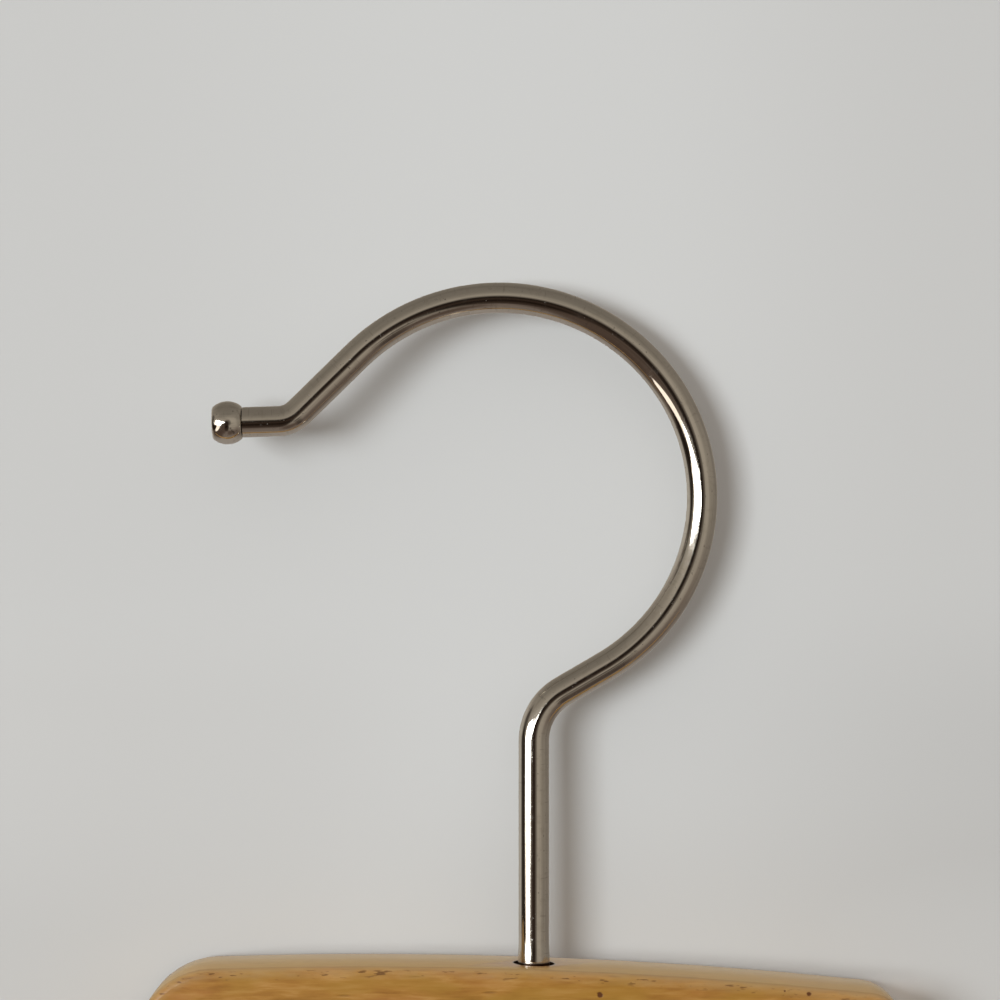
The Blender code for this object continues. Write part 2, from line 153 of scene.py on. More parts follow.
class Shading:
    """The nodes of a material or of the world, and the shader that they feed."""

    def __init__(self, owner, shader):
        owner.use_nodes = True
        self.tree = owner.node_tree
        self.shader = self.tree.nodes[shader]

    def node(self, kind, settings=None, values=None, output=0):
        """Adds one node: its settings first, then the value or the link of each input that is named."""
        made = self.tree.nodes.new("ShaderNode" + kind)
        for setting, value in (settings or {}).items():
            if setting == "stops":
                self.set_stops(made.color_ramp, value)
            else:
                setattr(made, setting, value)
        for name, value in (values or {}).items():
            if isinstance(value, Tone):
                self.tree.links.new(value.socket, made.inputs[name])
            else:
                made.inputs[name].default_value = value
        return Tone(self, made.outputs[output])

    def set_stops(self, ramp, stops):
        while len(ramp.elements) < len(stops):
            ramp.elements.new(1)
        for element, (position, colour) in zip(ramp.elements, stops):
            element.position = position
            element.color = (*colour, 1)

    def feed(self, socket, tone):
        self.tree.links.new(tone.socket, self.shader.inputs[socket])

    def part(self, vector, axis):
        """One of a vector's three values."""
        return self.node("SeparateXYZ", values={0: vector}, output=axis)

    def ramp(self, tone, *stops):
        return self.node("ValToRGB", {"stops": stops}, {"Fac": tone})


class Finish(Shading):
    """A procedural finish: a Principled shader and the nodes that vary it over the surface."""

    def __init__(self, name, constants=None):
        self.material = bpy.data.materials.new(name)
        super().__init__(self.material, "Principled BSDF")
        for socket, value in (constants or {}).items():
            self.shader.inputs[socket].default_value = value

    def place(self):
        """The place on the piece at rest, in metres."""
        return self.node("TexCoord", output="Object")

    def drawn(self):
        """The place on a drawn or turned piece as it was on the machine, straight along Z."""
        return self.node("Attribute", {"attribute_name": "drawn"}, output="Vector")

    def vector(self, operation, first, second, output=0):
        return self.node("VectorMath", {"operation": operation}, {0: first, 1: second}, output=output)

    def stretched(self, where, scales):
        return self.node("Mapping", values={"Vector": where, "Scale": scales})

    def grain(self, where, scale, detail=2, roughness=0.5, distortion=0):
        """Noise from 0 to 1, its features one over the scale across, or over each axis's own scale."""
        if isinstance(scale, tuple):
            where = self.stretched(where, scale)
            scale = 1
        values = {"Vector": where, "Scale": scale, "Detail": detail, "Roughness": roughness,
                  "Distortion": distortion}
        return self.node("TexNoise", values=values)

    def cells(self, where, scales, chosen, shown):
        """Spots in the cells of a pattern, in those cells alone whose own random tone is chosen."""
        values = {"Vector": self.stretched(where, scales), "Scale": 1}
        cell = self.node("TexVoronoi", values=values, output="Distance")
        return self.step(cell, *shown) * self.step(self.part(cell.beside("Color"), "X"), *chosen)

    def step(self, tone, low, high, start=0, end=1):
        """A smooth change from the start to the end while the tone goes from low to high."""
        values = {"Value": tone, "From Min": low, "From Max": high, "To Min": start, "To Max": end}
        return self.node("MapRange", {"interpolation_type": "SMOOTHSTEP"}, values)

    def blend(self, share, first, second):
        """Two colours, the second over the first by the share."""
        under, over = [tone if isinstance(tone, Tone) else (*tone, 1) for tone in (first, second)]
        return self.node("Mix", {"data_type": "RGBA"}, {0: share, 6: under, 7: over}, output=2)

    def relief(self, height, distance, under=None):
        """Bumps of a height from 0 to 1 times the distance, on top of others."""
        values = {"Height": height, "Distance": distance}
        if under:
            values["Normal"] = under
        return self.node("Bump", values=values)


def plated_nickel(name, foot_dirt_and_shade):
    """Bright plating over wire: draw marks along it, slow waves, dull patches and a few pits.

    Where it is asked for, a dark brown ring stands where it goes into the wood: dirt, and painted shade
    of the dark bore.
    """
    finish = Finish(name, {"Metallic": 1})
    drawn = finish.drawn()
    marks = finish.grain(drawn, DRAW_MARKS, detail=3)
    rubs = finish.grain(drawn, RUBS, detail=3, roughness=0.6)
    waves = finish.grain(drawn, WAVES)
    ticks = finish.grain(drawn, TICKS, detail=1)
    patches = finish.grain(drawn, PATCHES, detail=4, roughness=0.65)
    pits = finish.step(finish.grain(drawn, PITS, detail=1), *PITS_SHOWN)
    dull = finish.step(patches, *PATCHES_SHOWN)
    along = finish.part(drawn, "Z")
    # Dirt and painted shade: the wire turns dark brown just above and below where it goes into the
    # wood's bore.
    dirt_and_shade = finish.step(along, FOOT_DIRT_AND_SHADE_TOP, FOOT_DIRT_AND_SHADE_FULL) * finish.step(along, FOOT_DIRT_AND_SHADE_LOW, 0) * foot_dirt_and_shade
    colour = finish.blend(dull * PATCHES_SHARE, NICKEL, NICKEL_TARNISHED)
    colour = finish.blend(finish.step(rubs, *RUBS_SHOWN) * RUBS_SHARE, colour, NICKEL_RUBBED)
    colour = finish.blend(finish.step(ticks, *TICKS_SHOWN) * TICKS_SHARE, colour, DIRT_AND_SHADE_BROWN)
    colour = finish.blend(pits * PITS_SHARE, colour, DIRT_AND_SHADE_BROWN)
    finish.feed("Base Color", finish.blend(dirt_and_shade, colour, DIRT_AND_SHADE_BROWN))
    rough = NICKEL_ROUGHNESS + dull * PATCHES_ROUGHNESS + marks * DRAW_MARK_ROUGHNESS
    finish.feed("Roughness", rough + pits * PIT_ROUGHNESS + dirt_and_shade * SOIL_ROUGHNESS)
    relief = finish.relief(waves, WAVE_HEIGHT)
    relief = finish.relief(marks, DRAW_MARK_DEPTH, relief)
    finish.feed("Normal", finish.relief(1 - pits, PIT_DEPTH, relief))
    return finish.material


def placed(name, mesh):
    """An object with its mesh or its camera, put in the scene."""
    thing = bpy.data.objects.new(name, mesh)
    bpy.context.scene.collection.objects.link(thing)
    return thing


def dress(piece, body, node, material):
    """Gives a piece its finish, and puts it on the body in the place of the model's plain node."""
    piece.data.materials.clear()
    piece.data.materials.append(material)
    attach(piece, body)
    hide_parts(node)


def smooth(mesh, sharp_angle=SHARP_ANGLE):
    mesh.shade_smooth()
    mesh.set_sharp_from_angle(angle=math.radians(sharp_angle))


def tube(name, rings, drawn):
    """A closed tube through rings of points, with the place on the straight wire kept at each point."""
    mesh = bpy.data.meshes.new(name)
    sides = len(rings[0])
    faces = [tuple(reversed(range(sides)))]
    for ring in range(len(rings) - 1):
        for side in range(sides):
            here = ring * sides + side
            beside = ring * sides + (side + 1) % sides
            faces.append((here, beside, beside + sides, here + sides))
    faces.append(tuple((len(rings) - 1) * sides + side for side in range(sides)))
    mesh.from_pydata([point for ring in rings for point in ring], [], faces)
    kept = mesh.attributes.new("drawn", "FLOAT_VECTOR", "POINT")
    kept.data.foreach_set("vector", [value for point in drawn for value in point])
    smooth(mesh)
    return placed(name, mesh)


def heading_vector(heading):
    return Vector((math.cos(math.radians(heading)), 0, math.sin(math.radians(heading))))


def eased(share):
    """A share held between 0 and 1, with a soft start and end."""
    share = min(1, max(0, share))
    return share * share * (3 - 2 * share)


def wire_route(start, runs):
    """Stations of place, heading and distance along straight runs and bends, each a size and a turn."""
    place = Vector(start)
    heading = 90
    distance = 0
    stations = []
    for size, turn in runs:
        length = size if turn == 0 else abs(math.radians(turn)) * size
        steps = math.ceil(length / WIRE_STEP)
        for step in range(steps):
            part = (step + 0.5) / steps * turn
            stations.append((place.copy(), heading + turn * step / steps, distance))
            chord = length / steps
            if turn:
                chord = 2 * size * math.sin(math.radians(abs(turn)) / steps / 2)
            place += heading_vector(heading + part) * chord
            distance += length / steps
        heading += turn
    stations.append((place.copy(), heading, distance))
    return stations


def wire_radius(distance):
    """The wire's radius, swelled by the rolled thread near the wood and below it."""
    return SHANK_RADIUS + (WIRE_RADIUS - SHANK_RADIUS) * eased((distance - SWELL_END) / SWELL_TAPER)


hook_foot = Vector(frame["joints"][0]["pos_m"])
hook_runs = ((SHANK_RISE, 0), (THROAT_RADIUS, THROAT_TURN), (THROAT_RUN, 0),
             (LOOP_SIDE_RADIUS, LOOP_SIDE_TURN), (LOOP_TOP_RADIUS, LOOP_TOP_TURN), (MOUTH_RUN, 0),
             (LIP_RADIUS, LIP_TURN), (LIP_RUN - BALL_WIDTH / 2 - BALL_SEAM, 0))
route = wire_route(hook_foot, hook_runs)
neck, lip_heading, neck_distance = route[-1]
lip_direction = heading_vector(lip_heading)
rivet_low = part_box("hook_wire")[0].z - hook_foot.z
rivet_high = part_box("hook_nut")[0].z - NUT_GAP - hook_foot.z
rivet = ((rivet_low, RIVET_RADIUS - 2 * RIVET_EDGE),
         (rivet_low + RIVET_EDGE / 3, RIVET_RADIUS - RIVET_EDGE),
         (rivet_low + RIVET_EDGE, RIVET_RADIUS),
         (rivet_high - RIVET_EDGE / 2, RIVET_RADIUS),
         (rivet_high, SHANK_RADIUS))
sections = [(hook_foot + Vector((0, 0, depth)), 90, depth, radius) for depth, radius in rivet]
sections += [(place, heading, distance, wire_radius(distance)) for place, heading, distance in route]
sections += [(neck + lip_direction * past, lip_heading, neck_distance + past, SPIGOT_RADIUS)
             for past in (BALL_SEAM / 2, SPIGOT_LENGTH)]
wire_rings = []
wire_drawn = []
for place, heading, distance, radius in sections:
    across = heading_vector(heading - 90)
    ring = []
    for side in range(WIRE_SIDES):
        angle = 2 * math.pi * side / WIRE_SIDES
        out = radius * math.cos(angle)
        back = radius * math.sin(angle)
        ring.append(place + across * out + Vector((0, back, 0)))
        wire_drawn.append((out, back, distance))
    wire_rings.append(ring)
wire = tube("wire_plated", wire_rings, wire_drawn)
dress(wire, "hook", "hook_wire", plated_nickel("plated_wire", 1))


# The ball on the hook's end: a steel ball turned flat on two sides, drilled, pressed on the thinned end
# of the wire and plated with it. A hairline seam is left where it meets the wire.
BALL_RADIUS = 0.0027
BALL_EDGE = 0.00012
BALL_STEP = 5
SOCKET_PLAY = 0.00005
TURNED_SIDES = 64
WELD = 0.000001


def meshed(name, shape):
    """A shape's faces as a mesh, all turned outwards."""
    bmesh.ops.recalc_face_normals(shape, faces=shape.faces)
    mesh = bpy.data.meshes.new(name)
    shape.to_mesh(mesh)
    shape.free()
    return mesh


def turned(name, profile, place, axis, sides=TURNED_SIDES):
    """Turns a closed section of radius and height about an axis, with its machine place kept."""
    shape = bmesh.new()
    points = [shape.verts.new((radius, 0, height)) for radius, height in profile]
    edges = [shape.edges.new(pair) for pair in zip(points, points[1:])]
    bmesh.ops.spin(shape, geom=points + edges, cent=(0, 0, 0), axis=(0, 0, 1), angle=math.tau,
                   steps=sides, use_merge=True)
    bmesh.ops.remove_doubles(shape, verts=shape.verts, dist=WELD)
    mesh = meshed(name, shape)
    kept = mesh.attributes.new("drawn", "FLOAT_VECTOR", "POINT")
    kept.data.foreach_set("vector", [value for vertex in mesh.vertices for value in vertex.co])
    turn = Vector((0, 0, 1)).rotation_difference(axis).to_matrix().to_4x4()
    mesh.transform(Matrix.Translation(place) @ turn)
    smooth(mesh)
    return placed(name, mesh)


def ball_section():
    """From the middle of the flat outer face, over the round, to the socket's bottom."""
    half = BALL_WIDTH / 2
    end_angle = math.degrees(math.acos(half / BALL_RADIUS))
    face_radius = BALL_RADIUS * math.sin(math.radians(end_angle))
    first = end_angle + math.degrees(BALL_EDGE / BALL_RADIUS)
    steps = math.ceil((180 - 2 * first) / BALL_STEP)
    section = [(0, half), (face_radius - BALL_EDGE, half)]
    for step in range(steps + 1):
        angle = math.radians(first + (180 - 2 * first) * step / steps)
        section.append((BALL_RADIUS * math.sin(angle), BALL_RADIUS * math.cos(angle)))
    socket = SPIGOT_RADIUS + SOCKET_PLAY
    bottom = SPIGOT_LENGTH - half
    return section + [(face_radius - BALL_EDGE, -half), (socket, -half), (socket, bottom), (0, bottom)]


ball_centre = neck + lip_direction * (BALL_SEAM + BALL_WIDTH / 2)
ball = turned("ball_plated", ball_section(), ball_centre, lip_direction)
dress(ball, "hook", "hook_ball_tip", plated_nickel("plated_ball", 0))


# The board: one plank of honey-stained beech, sawn to shape with its grain along the shoulders, its
# arrises rounded over and sanded by hand, then sprayed with semi-gloss lacquer.
ARRIS_RADIUS = 0.001
ARRIS_STEPS = 8
ARRIS_WEAR_SHARE = 0.12
ARRIS_SHOWN = (0.00105, 0.0006)
WEAR_WAVES = 220
BORE_RADIUS = 0.00255
# A dark ring of dirt and painted shade on the wood at the bore's edge, and a wider ring of painted
# shade round it.
BORE_DIRT_AND_SHADE = (0.0028, 0.0026)
BORE_DIRT_AND_SHADE_SHARE = 0.95
BORE_PAINTED_SHADE = (0.0048, 0.003)
BORE_PAINTED_SHADE_SHARE = 0.3
COUNTERBORE_RADIUS = 0.0045
COUNTERBORE_DEPTH = 0.0095
TENON_HOLE_RADIUS = 0.0038
TENON_HOLE_DEPTH = 0.0143
BRAD_HEAD_HOLE_RADIUS = 0.00145
BRAD_HEAD_HOLE_DEPTH = 0.0009
BRAD_HOLE_RADIUS = 0.00105
OVERRUN = 0.003
FACE_DEPTH = 0.00001
BOARD_SHARP_ANGLE = 30
HONEY = (0.365, 0.168, 0.027)
HONEY_PALE = (0.45, 0.235, 0.06)
HONEY_DEEP = (0.265, 0.108, 0.013)
HONEY_OLIVE = (0.34, 0.175, 0.022)
HONEY_RED = (0.37, 0.148, 0.035)
EDGE_PALE = (0.53, 0.35, 0.12)
EDGE_SHOWN = (-0.0006, 0.0002)
EDGE_SHARE = 0.66
ARRIS_PALE = (0.35, 0.24, 0.115)
ARRIS_PALE_SHOWN = (0.0006, 0.0011)
DENT_BROWN = (0.09, 0.03, 0.005)
KNOT_BROWN = (0.1, 0.03, 0.004)
KNOTS = ((0.01233, -0.084, 0.00045), (0.035, -0.0835, 0.0002), (0.03796, -0.08387, 0.00038))
LACQUER = 0.9
LACQUER_RUBBED = 0.7
LACQUER_THINNED = (0.006, -0.0035)
LACQUER_ROUGHNESS = 0.08
WOOD_ROUGHNESS = 0.34
RING_SPACING = 0.0031
RING_DRIFT = 0.009
RINGS_RISE = (0.3, 0.9)
RINGS_FALL = (1, 0.92)
RINGS_SHARE = 0.22
PITH = (0.017, -0.052, 0.128)
PITH_STRETCH = (0.05, 1, 1)
GRAIN_SWAY = 0.0008
SWAYS = (45, 160, 160)
STREAKS = (190, 850, 850)
STREAKS_SHARE = 0.55
FIBRES = (260, 2400, 2400)
FIBRES_SHARE = 0.45
FIBRE_DEPTH = 0.000008
FIBRE_ROUGHNESS = 0.12
GRAIN_DEEP = 0.34
GRAIN_MIDDLE = 0.5
GRAIN_PALE = 0.66
CLOUDS = (14, 60, 60)
CLOUDS_SHOWN = (0.4, 0.7)
CLOUDS_SHARE = 0.3
TINTS = (90, 300, 300)
OLIVE_SHOWN = (0.46, 0.64)
RED_SHOWN = (0.46, 0.3)
TINT_SHARE = 0.6
FLECKS = (210, 1100, 1100)
FLECKS_CHOSEN = (0.68, 0.7)
FLECKS_SHOWN = (0.25, 0.1)
FLECKS_SHARE = 0.38
FLECK_DEPTH = 0.00003
PIN_KNOTS = (120, 160, 160)
PIN_KNOTS_CHOSEN = (0.86, 0.88)
PIN_KNOTS_SHOWN = (0.075, 0.04)
PIN_KNOTS_SHARE = 0.9
RAGS = (420, 1200, 1200)
RAG_DEPTH = 0.0006
KNOCKS = (520, 1300, 2800)
KNOCKS_SHOWN = (0.61, 0.68)
KNOCK_REACH = 0.0003
DENTS_SHOWN = (0.0003, 0.00006)
DENTS_SHARE = 0.75
DENTS_DEEP = 0.6
RIM_WIDTH = 0.0006


def front_loop(node):
    """The edge of a node's flat front face, in order, as points in the model's plane."""
    shape = bmesh.new()
    shape.from_mesh(frame["nodes"][node].data)
    bmesh.ops.remove_doubles(shape, verts=shape.verts, dist=WELD)
    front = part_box(node)[0].y + FACE_DEPTH
    flat = {face for face in shape.faces if all(vertex.co.y < front for vertex in face.verts)}
    rim = [edge for edge in shape.edges if len(flat.intersection(edge.link_faces)) == 1]
    beside = {}
    for edge in rim:
        for vertex in edge.verts:
            beside.setdefault(vertex, []).append(edge.other_vert(vertex))
    last = rim[0].verts[0]
    here = rim[0].verts[1]
    loop = [last.co.copy()]
    while here is not rim[0].verts[0]:
        loop.append(here.co.copy())
        ways = beside[here]
        last, here = here, ways[1] if ways[0] is last else ways[0]
    shape.free()
    area = sum(a.x * b.z - b.x * a.z for a, b in zip(loop, loop[1:] + loop[:1]))
    return [Vector((point.x, 0, point.z)) for point in (loop if area > 0 else reversed(loop))]


def outward(loop):
    """At each point of a loop, the way out whose length makes an even border 1 wide."""
    ways = []
    for before, here, after in zip(loop[-1:] + loop[:-1], loop, loop[1:] + loop[:1]):
        sides = [(here - before).normalized(), (after - here).normalized()]
        square = [Vector((side.z, 0, -side.x)) for side in sides]
        middle = (square[0] + square[1]).normalized()
        ways.append(middle / middle.dot(square[0]))
    return ways


def plank(name, node):
    """A board on the node's own outline, its arrises rounded finely and a little unevenly."""
    low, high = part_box(node)
    loop = front_loop(node)
    ways = outward(loop)
    rings = [[point + way * -RIM_WIDTH + Vector((0, low.y, 0)) for point, way in zip(loop, ways)]]
    for side in (-1, 1):
        face = low.y if side < 0 else high.y
        steps = range(ARRIS_STEPS + 1) if side < 0 else reversed(range(ARRIS_STEPS + 1))
        for step in steps:
            angle = math.pi / 2 * step / ARRIS_STEPS
            ring = []
            for point, way in zip(loop, ways):
                wear = noise.noise(point * WEAR_WAVES + Vector((0, side, 0)))
                radius = ARRIS_RADIUS * (1 - ARRIS_WEAR_SHARE * (0.5 + wear))
                out = ARRIS_RADIUS - radius + radius * math.sin(angle)
                deep = Vector((0, face - side * radius * (1 - math.cos(angle)), 0))
                ring.append(point + way * out + deep)
            rings.append(ring)
    rings.append([point + way * -RIM_WIDTH + Vector((0, high.y, 0)) for point, way in zip(loop, ways)])
    shape = bmesh.new()
    made = [[shape.verts.new(point) for point in ring] for ring in rings]
    count = len(loop)
    for first, second in zip(made, made[1:]):
        for i in range(count):
            j = (i + 1) % count
            shape.faces.new((first[i], first[j], second[j], second[i]))
    shape.faces.new(reversed(made[0]))
    shape.faces.new(made[-1])
    mesh = meshed(name, shape)
    rim = mesh.attributes.new("rim", "FLOAT", "POINT")
    rim.data.foreach_set("value", [0] * count + [1] * (count * (len(rings) - 2)) + [0] * count)
    return placed(name, mesh)


def drill(board, radius, depth, place, axis):
    """Cuts a straight hole into the board, down from its mouth against the axis."""
    section = [(0, OVERRUN), (radius, OVERRUN), (radius, -depth), (0, -depth)]
    bit = turned("bit", section, place, axis)
    cut = board.modifiers.new("hole", "BOOLEAN")
    cut.object = bit
    cut.operation = "DIFFERENCE"
    cut.solver = "EXACT"
    bpy.context.view_layer.update()
    evaluated = board.evaluated_get(bpy.context.evaluated_depsgraph_get())
    board.data = bpy.data.meshes.new_from_object(evaluated)
    board.modifiers.clear()
    bpy.data.objects.remove(bit)


def lacquered_beech(name, pale, middle, deep):
    """Beech along its grain under clear lacquer: growth rings, wavy streaks, fibres and dark flecks."""
    constants = {"Coat Weight": LACQUER, "Coat Roughness": LACQUER_ROUGHNESS, "Coat IOR": 1.5,
                 "Specular IOR Level": 0.3}
    finish = Finish(name, constants)
    place = finish.place()
    sway = finish.grain(place, SWAYS) * GRAIN_SWAY
    sway = finish.node("CombineXYZ", values={"Y": sway, "Z": sway})
    waved = finish.vector("ADD", place, sway)
    streaks = finish.grain(waved, STREAKS, detail=4, roughness=0.6, distortion=0.4)
    fibres = finish.grain(waved, FIBRES)
    cloud = finish.grain(place, CLOUDS)
    values = {"Vector": waved, "Location": PITH, "Scale": PITH_STRETCH}
    pith = finish.node("Mapping", values=values)
    radius = finish.node("VectorMath", {"operation": "LENGTH"}, {0: pith}, output="Value")
    rings = (radius + cloud * RING_DRIFT) * (1 / RING_SPACING) % 1
    late = finish.step(rings, *RINGS_RISE) * finish.step(rings, *RINGS_FALL)
    spots = finish.cells(waved, FLECKS, FLECKS_CHOSEN, FLECKS_SHOWN)
    knots = finish.cells(waved, PIN_KNOTS, PIN_KNOTS_CHOSEN, PIN_KNOTS_SHOWN)
    colour = finish.ramp(streaks * STREAKS_SHARE + fibres * FIBRES_SHARE, (GRAIN_DEEP, deep),
                         (GRAIN_MIDDLE, middle), (GRAIN_PALE, pale))
    colour = finish.blend(late * RINGS_SHARE, colour, deep)
    colour = finish.blend(finish.step(cloud, *CLOUDS_SHOWN) * CLOUDS_SHARE, colour, pale)
    colour = finish.blend(spots * FLECKS_SHARE, colour, DENT_BROWN)
    colour = finish.blend(knots * PIN_KNOTS_SHARE, colour, KNOT_BROWN)
    finish.feed("Roughness", WOOD_ROUGHNESS + fibres * FIBRE_ROUGHNESS)
    relief = finish.relief(fibres, FIBRE_DEPTH)
    return finish, colour, finish.relief(1 - spots, FLECK_DEPTH, relief)


def stained_board():
    """The board's beech: paler on its sanded edges, knocked along the arrises, and darkened round the
    hook by dirt and painted shade.
    """
    finish, colour, relief = lacquered_beech("stained_beech", HONEY_PALE, HONEY, HONEY_DEEP)
    place = finish.place()
    tint = finish.grain(place, TINTS)
    colour = finish.blend(finish.step(tint, *OLIVE_SHOWN) * TINT_SHARE, colour, HONEY_OLIVE)
    colour = finish.blend(finish.step(tint, *RED_SHOWN) * TINT_SHARE, colour, HONEY_RED)
    rim = finish.node("Attribute", {"attribute_name": "rim"}, output="Fac")
    deep = finish.part(place, "Y")
    depth = board_high.y - abs(deep)
    ragged = finish.grain(place, RAGS, detail=4, roughness=0.6)
    edge = rim * finish.step(depth - ragged * RAG_DEPTH, *EDGE_SHOWN)
    inside = 1 - finish.step(depth, KNOCK_REACH, 0) * (1 - rim)
    knocks = finish.grain(place, KNOCKS, roughness=0.6)
    dents = inside * finish.step(depth, *DENTS_SHOWN) * finish.step(knocks, *KNOCKS_SHOWN)
    level = finish.vector("MULTIPLY", place, (1, 1, 0))
    bore = finish.vector("DISTANCE", level, (hook_foot.x, 0, 0), output="Value")
    pale = finish.blend(finish.step(depth, *ARRIS_PALE_SHOWN), ARRIS_PALE, EDGE_PALE)
    colour = finish.blend(edge * EDGE_SHARE, colour, pale)
    colour = finish.blend(dents * DENTS_SHARE, colour, DENT_BROWN)
    marks = dents * DENTS_DEEP
    for x, z, radius in KNOTS:
        away = finish.vector("DISTANCE", place, (x, board_low.y, z), output="Value")
        knot = finish.step(away + (knocks - 0.5) * radius, radius, radius / 2)
        colour = finish.blend(knot, colour, KNOT_BROWN)
        marks = marks + knot
    # Painted shade: the wood is darkened in a wider ring round the bore, where the wire dims the
    # lacquer's sheen.
    colour = finish.blend(finish.step(bore, *BORE_PAINTED_SHADE) * BORE_PAINTED_SHADE_SHARE, colour, HONEY_DEEP)
    # Dirt and painted shade: a dark brown ring on the wood at the bore's edge.
    dirt_and_shade = finish.step(bore, *BORE_DIRT_AND_SHADE) * BORE_DIRT_AND_SHADE_SHARE
    finish.feed("Base Color", finish.blend(dirt_and_shade, colour, DIRT_AND_SHADE_BROWN))
    arris = finish.step(depth, *ARRIS_SHOWN)
    thin = finish.step(deep, *LACQUER_THINNED)
    rubbed = rim * (1 - (1 - arris) * (1 - thin))
    finish.feed("Coat Weight", (1 - marks) * (LACQUER - rubbed * LACQUER_RUBBED))
    finish.feed("Normal", finish.relief(1 - marks, FLECK_DEPTH, relief))
    return finish.material


board_low, board_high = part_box("shoulder_board")
board = plank("board_beech", "shoulder_board")
washer_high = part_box("hook_washer")[1].z
bar_low, bar_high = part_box("trouser_bar")
bar_middle = (bar_low + bar_high) / 2
underside = Vector((hook_foot.x, 0, washer_high + NUT_GAP - COUNTERBORE_DEPTH))
up = Vector((0, 0, 1))
drill(board, BORE_RADIUS, hook_foot.z - washer_high, hook_foot, up)
drill(board, COUNTERBORE_RADIUS, COUNTERBORE_DEPTH, underside, -up)
for pin, end, side in (("bar_pin_left", bar_low.x, -1), ("bar_pin_right", bar_high.x, 1)):
    shoulder = Vector((end - side * (TENON_HOLE_DEPTH - NUT_GAP), 0, bar_middle.z))
    drill(board, TENON_HOLE_RADIUS, TENON_HOLE_DEPTH, shoulder, Vector((-side, 0, 0)))
    pin_low, pin_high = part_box(pin)
    head = Vector(((pin_low.x + pin_high.x) / 2, board_high.y, bar_middle.z))
    back = Vector((0, 1, 0))
    drill(board, BRAD_HEAD_HOLE_RADIUS, BRAD_HEAD_HOLE_DEPTH, head, back)
    drill(board, BRAD_HOLE_RADIUS, board_high.y - pin_low.y + NUT_GAP, head, back)
smooth(board.data, BOARD_SHARP_ANGLE)
dress(board, "board", "shoulder_board", stained_board())


# The washer and the nut: stamped and cold-formed steel, plated with zinc. They hold the hook up in the
# counterbore under the crown, the wire's end riveted over the nut.
ZINC = (0.58, 0.59, 0.6)
ZINC_DULL = (0.42, 0.43, 0.44)
ZINC_BLOOM = 900
ZINC_BLOOM_SHOWN = (0.4, 0.65)
ZINC_BLOOM_ROUGHNESS = 0.2
ZINC_ROUGHNESS = 0.28
STEEL_RELIEF = 0.00001


def zinc_plating():
    finish = Finish("zinc_plating", {"Metallic": 1})
    bloom = finish.grain(finish.place(), ZINC_BLOOM, detail=4, roughness=0.6)
    finish.feed("Base Color", finish.blend(finish.step(bloom, *ZINC_BLOOM_SHOWN), ZINC, ZINC_DULL))
    finish.feed("Roughness", ZINC_ROUGHNESS + bloom * ZINC_BLOOM_ROUGHNESS)
    finish.feed("Normal", finish.relief(bloom, STEEL_RELIEF))
    return finish.material


zinc = zinc_plating()
for node in ("hook_washer", "hook_nut"):
    thing = frame["nodes"][node]
    thing.data.materials.clear()
    thing.data.materials.append(zinc)


# The trouser bar: a turned dowel of paler beech, lacquered, with a thinner tenon at each end that is
# glued into the heel and pinned from the back.
BAR_EDGE = 0.0006
TENON_RADIUS = 0.0035
TENON_CHAMFER = 0.0008
DOWEL_PALE = (0.56, 0.34, 0.14)
DOWEL_MIDDLE = (0.46, 0.25, 0.085)
DOWEL_DEEP = (0.33, 0.155, 0.045)


def dowel_section(radius, end, shoulder):
    half = [(0, end), (TENON_RADIUS - TENON_CHAMFER, end), (TENON_RADIUS, end - TENON_CHAMFER),
            (TENON_RADIUS, shoulder), (radius - BAR_EDGE, shoulder),
            (radius - BAR_EDGE * 0.3, shoulder - BAR_EDGE * 0.3), (radius, shoulder - BAR_EDGE)]
    return half + [(out, -along) for out, along in reversed(half)]


def dowel_beech():
    finish, colour, relief = lacquered_beech("dowel_beech", DOWEL_PALE, DOWEL_MIDDLE, DOWEL_DEEP)
    finish.feed("Base Color", colour)
    finish.feed("Normal", relief)
    return finish.material


bar_end = (bar_high.x - bar_low.x) / 2
bar_section = dowel_section(bar_high.y, bar_end, bar_end - TENON_HOLE_DEPTH)
dowel = turned("bar_dowel", bar_section, bar_middle, Vector((1, 0, 0)))
dress(dowel, "board", "trouser_bar", dowel_beech())


# The sleeve: a soft clear vinyl tube with fine ribs along it, pushed over the dowel so that trousers
# don't slip. It grips the wood and has yellowed very slightly.
SLEEVE_RIBS = 18
SLEEVE_RIB_HEIGHT = 0.0004
SLEEVE_RIB_POWER = 0.7
SLEEVE_POINTS_PER_RIB = 8
SLEEVE_STATIONS = 40
SLEEVE_PLAY = 0.0001
SLEEVE_SHARP_ANGLE = 50
VINYL_PALE = (0.76, 0.74, 0.66)
VINYL_YELLOWED = (0.68, 0.65, 0.56)
VINYL_HAZE = (60, 700, 700)
VINYL_HAZE_DEPTH = 0.00002
VINYL_HAZE_ROUGHNESS = 0.14
VINYL_ROUGHNESS = 0.2
VINYL_ALPHA = 0.38
VINYL_ALPHA_RIM = 0.42
VINYL_ALPHA_HAZE = 0.12


